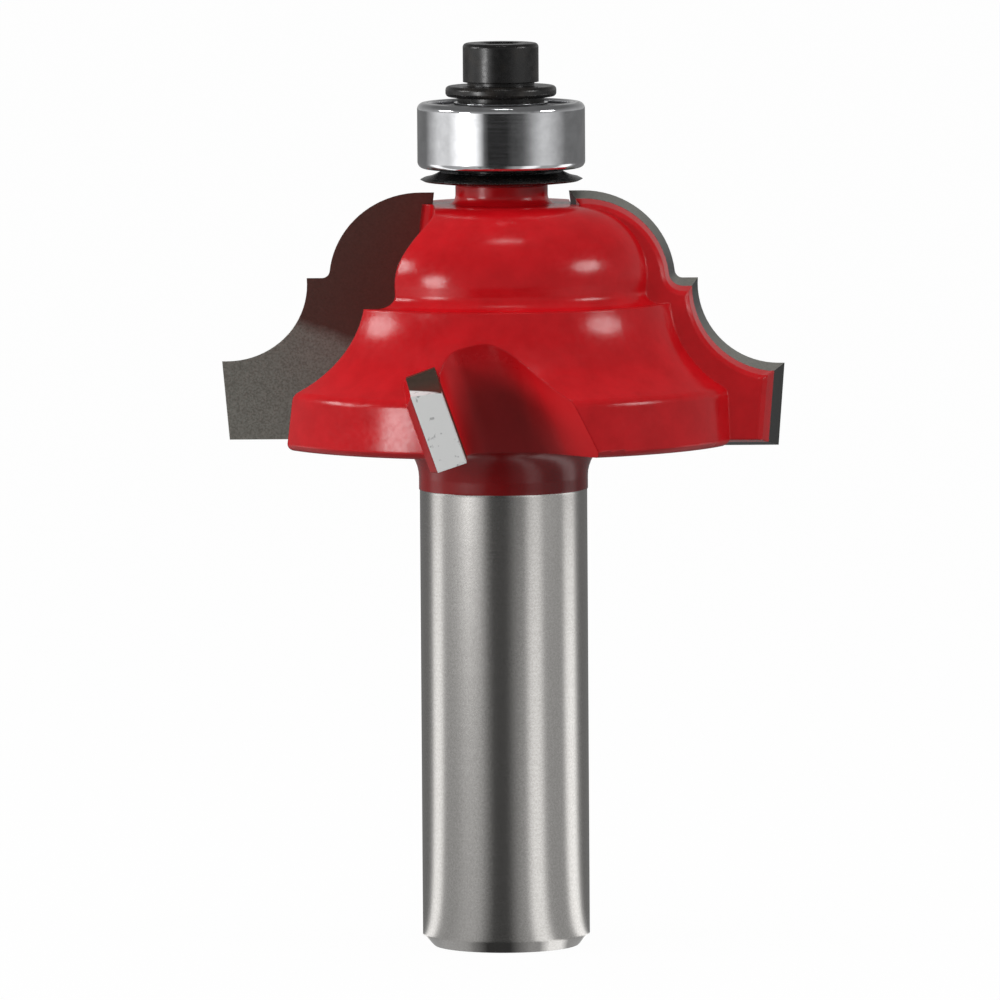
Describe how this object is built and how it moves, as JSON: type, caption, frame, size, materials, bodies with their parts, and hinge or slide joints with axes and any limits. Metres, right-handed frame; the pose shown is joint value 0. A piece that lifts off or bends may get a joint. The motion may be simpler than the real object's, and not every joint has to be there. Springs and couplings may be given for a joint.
{
  "type": "router bit",
  "caption": "Shank-mounted router bit with a red head, carbide cutters that shape a cove and bead edge, and a guide bearing at the tip.",
  "frame": {"origin": "centre of the shank's flat end face, at the bottom of the bit", "axes": "+Z along the axis from the shank end to the tip; seen from the tip the bit cuts counter-clockwise; the main cutters point along +X and -X"},
  "size_m": [0.0426, 0.0426, 0.0686],
  "materials": {
    "coated_steel": "glossy red baked coating over the head and collar, bare ground steel on the shank",
    "carbide": "ground tungsten carbide, fine grained dark grey",
    "black_oxide": "semi-gloss black oxide",
    "bearing_steel": "ground and polished bearing steel",
    "ball_steel": "mirror polished",
    "cage_steel": "pressed steel",
    "shield_steel": "bright pressed steel"
  },
  "bodies": {
    "cutter": {"cutter_body": "coated_steel", "main_blade_1": "carbide", "main_blade_2": "carbide", "side_blade_1": "carbide", "side_blade_2": "carbide", "dust_shield": "black_oxide", "inner_race": "bearing_steel", "top_washer": "black_oxide", "cap_screw": "black_oxide"},
    "outer_ring": {"outer_race": "bearing_steel", "upper_bearing_shield": "shield_steel", "lower_bearing_shield": "shield_steel", "upper_retaining_ring": "shield_steel", "lower_retaining_ring": "shield_steel"},
    "cage": {"ball_cage": "cage_steel"},
    "ball_1_body": {"ball_1": "ball_steel"},
    "ball_2_body": {"ball_2": "ball_steel"},
    "ball_3_body": {"ball_3": "ball_steel"},
    "ball_4_body": {"ball_4": "ball_steel"},
    "ball_5_body": {"ball_5": "ball_steel"},
    "ball_6_body": {"ball_6": "ball_steel"},
    "ball_7_body": {"ball_7": "ball_steel"}
  },
  "joints": [
    {"name": "bearing_spin", "type": "hinge", "parent": "cutter", "child": "outer_ring", "pos_m": [0, 0, 0.06164], "axis": [0, 0, 1], "continuous": true},
    {"name": "cage_spin", "type": "hinge", "parent": "cutter", "child": "cage", "pos_m": [0, 0, 0.06164], "axis": [0, 0, 1], "continuous": true},
    {"name": "ball_1_spin", "type": "hinge", "parent": "cage", "child": "ball_1_body", "pos_m": [0.00435, 0, 0.06164], "axis": [0, 0, 1], "continuous": true},
    {"name": "ball_2_spin", "type": "hinge", "parent": "cage", "child": "ball_2_body", "pos_m": [0.00271, 0.0034, 0.06164], "axis": [0, 0, 1], "continuous": true},
    {"name": "ball_3_spin", "type": "hinge", "parent": "cage", "child": "ball_3_body", "pos_m": [-0.00097, 0.00424, 0.06164], "axis": [0, 0, 1], "continuous": true},
    {"name": "ball_4_spin", "type": "hinge", "parent": "cage", "child": "ball_4_body", "pos_m": [-0.00392, 0.00189, 0.06164], "axis": [0, 0, 1], "continuous": true},
    {"name": "ball_5_spin", "type": "hinge", "parent": "cage", "child": "ball_5_body", "pos_m": [-0.00392, -0.00189, 0.06164], "axis": [0, 0, 1], "continuous": true},
    {"name": "ball_6_spin", "type": "hinge", "parent": "cage", "child": "ball_6_body", "pos_m": [-0.00097, -0.00424, 0.06164], "axis": [0, 0, 1], "continuous": true},
    {"name": "ball_7_spin", "type": "hinge", "parent": "cage", "child": "ball_7_body", "pos_m": [0.00271, -0.0034, 0.06164], "axis": [0, 0, 1], "continuous": true}
  ],
  "couplings": [
    {"joint": "cage_spin", "follows": "bearing_spin", "ratio": 0.63684},
    {"joint": "ball_1_spin", "follows": "bearing_spin", "ratio": 1.6901},
    {"joint": "ball_2_spin", "follows": "bearing_spin", "ratio": 1.6901},
    {"joint": "ball_3_spin", "follows": "bearing_spin", "ratio": 1.6901},
    {"joint": "ball_4_spin", "follows": "bearing_spin", "ratio": 1.6901},
    {"joint": "ball_5_spin", "follows": "bearing_spin", "ratio": 1.6901},
    {"joint": "ball_6_spin", "follows": "bearing_spin", "ratio": 1.6901},
    {"joint": "ball_7_spin", "follows": "bearing_spin", "ratio": 1.6901}
  ]
}
